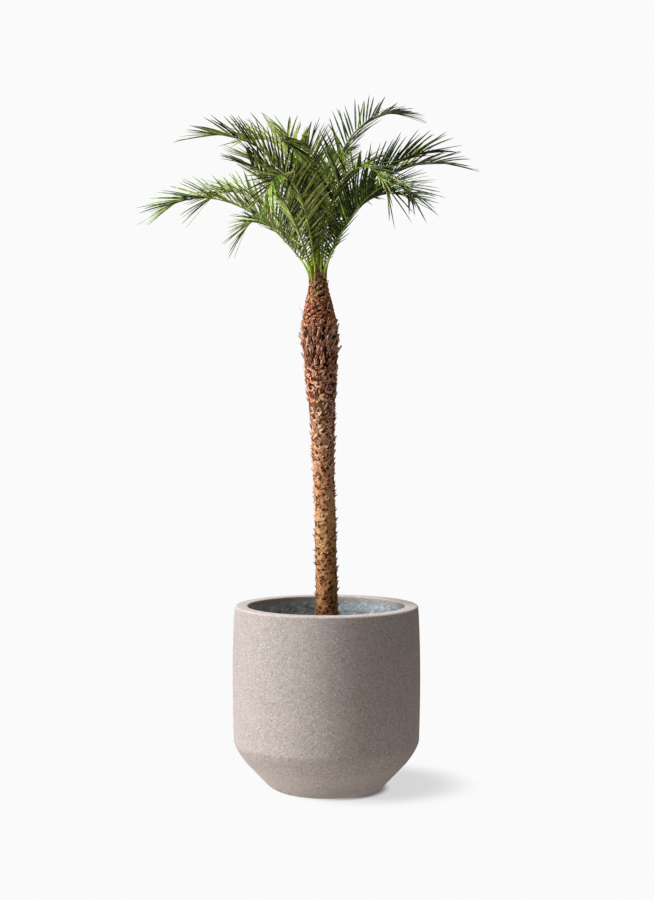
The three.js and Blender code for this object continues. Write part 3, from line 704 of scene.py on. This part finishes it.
for k in range(352):
    z = 1.090 + 0.0255 * (k % 8) + rng.normal() * 0.0036
    turn = (k // 8) * GOLDEN + 0.7 * (k % 8) + rng.normal() * 0.05
    thick = math.exp(-((z - 1.190) / 0.070) ** 2)
    size = (0.0046 + 0.0040 * rng.random(), (0.014 + 0.013 * rng.random()) * (0.6 + 0.6 * thick),
            0.0040 + 0.0030 * rng.random())
    kind = ("dark", "dark", "brown", "light")[rng.integers(4)]
    strap_on(kind, z, turn, size, 0.0050 + 0.0035 * rng.random(),
             0.02 + 0.14 * rng.random() * (0.3 + thick), rng.normal() * 0.16)
for k in range(26):
    z = 1.376 + 0.036 * k / 26
    size = (0.0075 + 0.0035 * rng.random(), 0.018 + 0.018 * rng.random(), 0.0020)
    strap_on(("dark", "brown")[k % 2], z, k * GOLDEN, size, 0.0042,
             -0.02 + 0.06 * rng.random(), rng.normal() * 0.10)
# The longest splinters, then loose fibres.
for z, turn, long in ((1.190, -8, 0.030), (1.222, 172, 0.026), (1.178, 187, 0.022),
                      (1.262, -14, 0.018), (1.150, -30, 0.020), (1.205, 200, 0.024),
                      (1.236, 176, 0.020), (1.165, 95, 0.028), (1.210, 45, 0.026)):
    strap_on("dark", z, math.radians(turn), (0.0062, long, 0.0042), 0.0060, 0.42)
for k in range(80):
    z = 1.09 + 0.24 * rng.random()
    strap_on("light", z, rng.random() * 6.283, (0.0012, 0.010 + 0.014 * rng.random(), 0.0009),
             0.0005, 0.05 + 0.30 * rng.random(), rng.normal() * 0.6)
for kind, tones in (("dark", ("281c15", "7a6456", "c4b2a4")),
                    ("brown", ("604c3e", "bcaa9c", "eee0d4")),
                    ("light", ("a8978a", "f0e6de", "ffffff"))):
    cork = cork_finish(f"torn_stalk_{kind}", 1.06, 1.46, BARK, tones, squeezed=0.3)
    torn = cork_finish(f"torn_end_{kind}", 1.06, 1.46, BARK, ("8c7a6c", "e2dad0", "f2f8fa"),
                       squeezed=0.3, bleach_and_highlight_share=0.4)
    straps = copies(f"torn_stalks_{kind}", strap, strap_places[kind], [cork, torn])
    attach(straps, "root")
bpy.data.objects.remove(strap)

# Above the torn stalks lie low overlapping scales, and round the neck oval scars of leaves
# that fell whole: one low dome, set close and winding up the stem.
bpy.ops.object.select_all(action="DESELECT")
bpy.ops.mesh.primitive_uv_sphere_add(segments=8, ring_count=5, radius=1.0)
dome_scar = bpy.context.object
for name, count, z0, z1, wide, tall, tones in (
        ("dark_scales", 120, 1.262, 1.352, 0.0090, 0.0046, ("32211a", "94725c", "dab89c")),
        ("pale_scales", 90, 1.262, 1.352, 0.0084, 0.0044, ("5c483a", "dcc2b0", "fcecdc")),
        ("oval_scars", 60, 1.338, 1.402, 0.0078, 0.0062, ("4a372b", "dac2b0", "fff4ee"))):
    scar_places = []
    for k in range(count):
        z = z0 + (z1 - z0) * (k + 0.6 * rng.random()) / count
        grown = (0.7 + 0.6 * rng.random()) * min(1.15, trunk_radius(z) / 0.034)
        scar_places.append(on_trunk(
            z, k * GOLDEN + rng.normal() * 0.10, 0.0036, 0.20 + 0.20 * rng.random(),
            rng.normal() * 0.34, (wide * grown, tall * (0.75 + 0.5 * rng.random()),
                                  0.0024 + 0.0016 * rng.random())))
    cork = cork_finish(f"{name}_cork", z0 - 0.02, z1 + 0.02, BARK, tones)
    row = copies(name, dome_scar, scar_places, [cork])
    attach(row, "root")
bpy.data.objects.remove(dome_scar)


# ---------------------------- fronds
# Nineteen feather-shaped fronds on one rule: a rib that hugs the trunk, leans out and arches
# over, with 45 pairs of narrow folded leaflets set in a V. Each leaflet is a thin blade,
# glossy green above and paler below.
PAIRS = 45
# Where the blade starts and its last pair stands, as shares of the rib.
BLADE, LAST_PAIR = 0.11, 0.965
LEAFLET, LEAFLET_WIDTH, LEAFLET_THICK = 0.122, 0.0054, 0.0005
TIP_LEAFLET, TIP_HALF_WIDTH, TIP_THICK = 0.098, 0.0024, 0.0006
BASE_WIDTH, STALK_WIDTH, TIP_WIDTH, DEPTH_SHARE = 0.0095, 0.0062, 0.0020, 0.72
SUNK, UPRIGHT, UPRIGHT_SHARE, STEEPEST = 0.003, 26, 0.14, 88
# Azimuth, rise, droop, bend, length (mm), height on the trunk (mm), roll, sweep, shade. The deep shade
# goes to the fronds on the right and at the back, away from the windows, as painted shade.
FRONDS = (
    (184, 52, -31, 2.0, 482, 1404, -38, 2, "mid"),
    (159, 56, -44, 3.0, 444, 1412, -28, -6, "mid"),
    (131, 48, -40, 2.2, 448, 1404, -60, -17, "mid"),
    (201, 87, -12, 1.5, 520, 1434, 12, 8, "mid"),
    (146, 87, -8, 2.2, 495, 1434, 25, 2, "fresh"),
    (250, 70, -62, 2.1, 485, 1400, -20, -5, "mid"),
    (294, 73, -76, 2.1, 515, 1414, 0, 22, "mid"),
    (44, 88, -6, 1.8, 630, 1432, 28, -2, "deep"),
    (12, 67, -9, 2.0, 515, 1404, 38, -3, "deep"),
    (345, 81, 7, 1.2, 465, 1418, -24, -2, "deep"),
    (317, 57, -50, 2.4, 470, 1402, 16, -15, "deep"),
    (112, 83, 40, 1.2, 463, 1432, -5, 8, "mid"),
    (78, 80, 28, 1.0, 440, 1434, 5, -6, "deep"),
    (98, 60, -34, 1.7, 446, 1402, 0, 0, "deep"),
    (68, 66, -8, 1.7, 450, 1402, 0, 0, "deep"),
    (39, 66, -18, 1.9, 445, 1400, 0, -2, "deep"),
    (236, 70, 23, 1.6, 350, 1436, 12, -40, "mid"),
    (270, 84, -5, 1.6, 435, 1434, 24, -17, "mid"),
    (224, 68, 6, 2.0, 415, 1390, 10, 16, "mid"),
)


def rib_frames(row, stations=145):
    """Shares, points and frames (along, side, up) along a frond's rib."""
    azimuth, rise, droop, bend, length, height, roll, sweep, _ = row
    share = np.linspace(0, 1, stations)

    def heading_along(u):
        hug = UPRIGHT * np.clip(1 - u / UPRIGHT_SHARE, 0, 1) ** 1.5
        tilt = np.radians(np.minimum(rise - (rise - droop) * u ** bend + hug,
                                     max(STEEPEST, rise)))
        turn = np.radians(azimuth + sweep * u * u)
        along = np.stack([np.cos(tilt) * np.cos(turn), np.cos(tilt) * np.sin(turn),
                          np.sin(tilt)], -1)
        return along, turn

    along, turn = heading_along(share)
    side = np.stack([-np.sin(turn), np.cos(turn), 0 * turn], -1)
    up = np.cross(along, side)
    rolled = np.radians(roll) * share[:, None]
    side, up = (side * np.cos(rolled) + up * np.sin(rolled),
                up * np.cos(rolled) - side * np.sin(rolled))
    z = height / 1000
    reach = trunk_radius(z) - SUNK
    a = math.radians(azimuth)
    start = np.array([trunk_x(z) + reach * math.cos(a), reach * math.sin(a), z])
    middle, _ = heading_along((share[1:] + share[:-1]) / 2)
    steps = np.cumsum(middle * (length / 1000) / (stations - 1), axis=0)
    points = np.vstack([start, start + steps])
    return share, points, along, side, up


class Blades:
    """Points, faces and material slots gathered for one joined piece."""

    def __init__(self):
        self.points, self.faces, self.slots, self.count = [], [], [], 0

    def strip(self, rings, slots, start_slot=0, tip_slots=None):
        """Rings of points walled to each other, closed at the root and drawn to a point."""
        base, n = self.count, len(rings[0])
        tip_slots = tip_slots or slots
        for ring in rings[:-1]:
            self.points.extend(ring)
        self.points.append(rings[-1][0])
        last = len(rings) - 2
        for i in range(last):
            for j in range(n):
                a, b = base + i * n + j, base + i * n + (j + 1) % n
                self.faces.append((a, b, b + n, a + n))
                self.slots.append((tip_slots if i == last - 1 else slots)[j])
        apex = base + (last + 1) * n
        for j in range(n):
            self.faces.append((base + last * n + j, base + last * n + (j + 1) % n, apex))
            self.slots.append(tip_slots[j])
        self.faces.append(tuple(base + j for j in reversed(range(n))))
        self.slots.append(start_slot)
        self.count = apex + 1

    def piece(self, name, materials, angle):
        points = [tuple(p) for p in self.points]
        return joined_piece(name, points, self.faces, self.slots, materials, angle)


def leaf_finish(name, tones, roughness, scale=60.0):
    """Waxy palm leaf: a green that drifts from leaflet to leaflet, with fine veins along it."""
    material, tree, skin, at = new_finish(name, roughness, 0.17)
    drift = add_node(tree, "ShaderNodeTexNoise", links={"Vector": at},
                     values={"Scale": scale, "Detail": 3.0, "Roughness": 0.6})
    tint = add_node(tree, "ShaderNodeValToRGB", links={0: drift.outputs[0]},
                    stops=list(zip((0.36, 0.50, 0.64), tones)))
    tree.links.new(tint.outputs[0], skin.inputs["Base Color"])
    veins = add_node(tree, "ShaderNodeTexNoise", links={"Vector": at},
                     values={"Scale": 900.0, "Detail": 1.0})
    relief = add_node(tree, "ShaderNodeBump", values={"Strength": 0.25, "Distance": 0.0004},
                      links={"Height": veins.outputs[0]})
    tree.links.new(relief.outputs[0], skin.inputs["Normal"])
    return material


# Upper sides partly by age, then the matt undersides and a dried tip. The deep green, above and below,
# is painted shade: it goes to the fronds on the right and at the back, away from the windows.
dried = leaf_finish("dried_leaf_tip", ("6b4526", "94683a", "b58d55"), 0.75)
leaf_skins, shades = {}, {}
for shade, roughness, upper, under in (
        ("deep", 0.38, ("162a04", "2c4210", "5e7432"), ("242e10", "38421e", "585e36")),
        ("mid", 0.45, ("46640c", "6c941e", "9ebc48"), ("748238", "8a974a", "a0aa5e")),
        ("fresh", 0.45, ("7c9438", "a0b45e", "c8d096"), ("a4b04e", "b8c468", "ced68a"))):
    leaf_skins[shade] = [leaf_finish(f"palm_leaf_{shade}", upper, roughness),
                         leaf_finish(f"palm_underside_{shade}", under, 0.60), dried]
    shades[shade] = Blades()
ribs = {"stalk": Blades(), "midrib": Blades()}
# In a frond of each shade, the share of deep leaflets, and of deep and mid ones together.
MIXED = {"deep": (0.88, 0.97), "mid": (0.32, 0.70), "fresh": (0.08, 0.36)}
# A leaflet's width along its length.
STATIONS = (0.0, 0.05, 0.18, 0.38, 0.60, 0.80, 0.93, 1.0)
OUTLINE = (0.42, 0.70, 0.96, 1.00, 0.84, 0.55, 0.27, 0.0)

for number, row in enumerate(FRONDS):
    rng = np.random.default_rng(100 + number)
    length = row[4] / 1000
    share, points, along, side, up = rib_frames(row)
    own = row[8]

    def at_share(u, table):
        return np.array([np.interp(u, share, table[:, axis]) for axis in range(3)])

    # The rib: flat above, keeled below. Its stalk is bare, yellow-green and widest where it
    # clasps the trunk.
    for kind, ends, count in (("stalk", (0.0, BLADE + 0.02), 9), ("midrib", (BLADE, 1.0), 40)):
        rings = []
        for u in np.linspace(*ends, count):
            p, s, w = (at_share(u, t) for t in (points, side, up))
            if u < BLADE:
                width = BASE_WIDTH + (STALK_WIDTH - BASE_WIDTH) * u / BLADE
            else:
                width = STALK_WIDTH + (TIP_WIDTH - STALK_WIDTH) * (u - BLADE) / (1 - BLADE)
            deep = width * DEPTH_SHARE
            rings.append([p + s * width / 2 * x + w * deep * y for x, y in (
                (-1.0, 0.38), (-0.55, 0.50), (0.55, 0.50), (1.0, 0.38),
                (0.72, -0.10), (0.30, -0.46), (-0.30, -0.46), (-0.72, -0.10))])
        rings.append([at_share(ends[1], points) + at_share(ends[1], along) * 0.004])
        ribs[kind].strip(rings, [0] * 8)

    for i in range(PAIRS):
        place = i / (PAIRS - 1)
        u = BLADE + (LAST_PAIR - BLADE) * place
        p, a, s, w = (at_share(u, t) for t in (points, along, side, up))
        # The leaflets are short and unruly near the stalk, and lie further forward and flatter
        # towards the tip.
        swell = 0.10 + 0.90 * min(1, place / 0.34)
        fade = 1 - 0.1 * max(0, (place - 0.6) / 0.4)
        for hand in (1, -1):
            long = LEAFLET * swell * fade * (0.88 + 0.2 * rng.random())
            stray = 18 + 80 * max(0, 1 - place / 0.25)
            forward = math.radians(60 - 38 * place + 16 * (rng.random() - 0.5))
            lift = math.radians(38 - 26 * place + stray * (rng.random() - 0.5))
            out = (a * math.cos(forward) + s * hand * math.sin(forward) * math.cos(lift)
                   + w * math.sin(forward) * math.sin(lift))
            sag = (0.03 + 0.10 * place) * (0.6 + 0.8 * rng.random())
            wide = LEAFLET_WIDTH * (0.85 + 0.3 * rng.random()) * (0.56 + 0.44 * swell)
            fold = 0.30 + 0.15 * rng.random()
            across = a - out * a.dot(out)
            across /= np.linalg.norm(across)
            rings, here, last = [], p, 0.0
            for station, broad in zip(STATIONS, OUTLINE):
                heading = out + np.array([0, 0, -1]) * sag * station ** 1.4
                heading /= np.linalg.norm(heading)
                here = here + heading * long * (station - last)
                last = station
                over = np.cross(across, heading) * hand
                edge = across * wide / 2 * broad
                trough = over * wide * fold * broad
                thick = over * LEAFLET_THICK / 2
                if broad:
                    rings.append([here - edge + trough, here + thick * broad,
                                  here + edge + trough, here - thick])
                else:
                    rings.append([here])
            if hand < 0:
                rings = [ring[::-1] for ring in rings]
            # Which walls are the upper side depends on the way round the ring.
            slots = [0, 0, 1, 1] if hand > 0 else [1, 1, 0, 0]
            dry = rng.random() < (0.24 if own == "deep" else 0.12)
            drawn = rng.random()
            shade = ("deep", "mid", "fresh")[sum(drawn > limit for limit in MIXED[own])]
            shades[shade].strip(rings, slots, 1, [2] * 4 if dry else None)
    # The rib ends in one more leaflet, straight on.
    p, a, s, w = (at_share(1.0, t) for t in (points, along, side, up))
    rings = []
    for station, broad in zip(STATIONS[:-1], OUTLINE[:-1]):
        here = p + a * TIP_LEAFLET * station
        edge = s * TIP_HALF_WIDTH * broad
        rings.append([here - edge, here + w * TIP_THICK, here + edge, here - w * TIP_THICK])
    rings.append([p + a * TIP_LEAFLET])
    shades[own].strip(rings, [0, 0, 1, 1], 1)

frond_nodes = sorted(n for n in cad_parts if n.startswith("frond_"))
for shade, blades in shades.items():
    leaflets = blades.piece(f"leaflets_{shade}", leaf_skins[shade], 50)
    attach(leaflets, "root")
    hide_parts(*[n for n in frond_nodes if FRONDS[int(n[6:8]) - 1][8] == shade])
stalk_skin = leaf_finish("fresh_leaf_stalk", ("86a42a", "acc444", "d0dc6c"), 0.45, 30.0)
midrib_skin = leaf_finish("leaf_midrib", ("6a8030", "869a42", "a6b45a"), 0.45, 30.0)
for kind, rib_skin in (("stalk", stalk_skin), ("midrib", midrib_skin)):
    rib = ribs[kind].piece(f"frond_{kind}s", [rib_skin], 40)
    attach(rib, "root")
    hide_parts(*frond_nodes)


# ---------------------------- spear leaf
# The newest frond, still shut: a pale yellow-green spindle of folded leaflets that stands
# straight up out of the middle of the crown.
SPEAR, SPEAR_RADIUS, SPEAR_LEAN = 0.165, 0.0042, -0.006
spear_blades = Blades()
rings = []
for u in np.linspace(0, 1, 16):
    r = SPEAR_RADIUS * (0.8 + 0.2 * min(1, u / 0.35)) * (1 - max(0, (u - 0.35) / 0.65) ** 1.6)
    centre = np.array([trunk_x(TRUNK_TIP) + SPEAR_LEAN * u, 0, TRUNK_TIP + 0.0003 + SPEAR * u])
    rings.append([centre + np.array([math.cos(t), math.sin(t), 0]) * r * (1 if j % 2 else 0.82)
                  for j, t in enumerate(np.linspace(0, 2 * math.pi, 16, endpoint=False))])
rings[-1] = [rings[-1][0]]
spear_blades.strip(rings, [0] * 16)
spear_skin = leaf_finish("unopened_leaf", ("9aa33e", "b4b656", "c8c673"), 0.5, 80.0)
spear = spear_blades.piece("spear_leaf_folded", [spear_skin], 40)
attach(spear, "root")
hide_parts("spear_leaf")
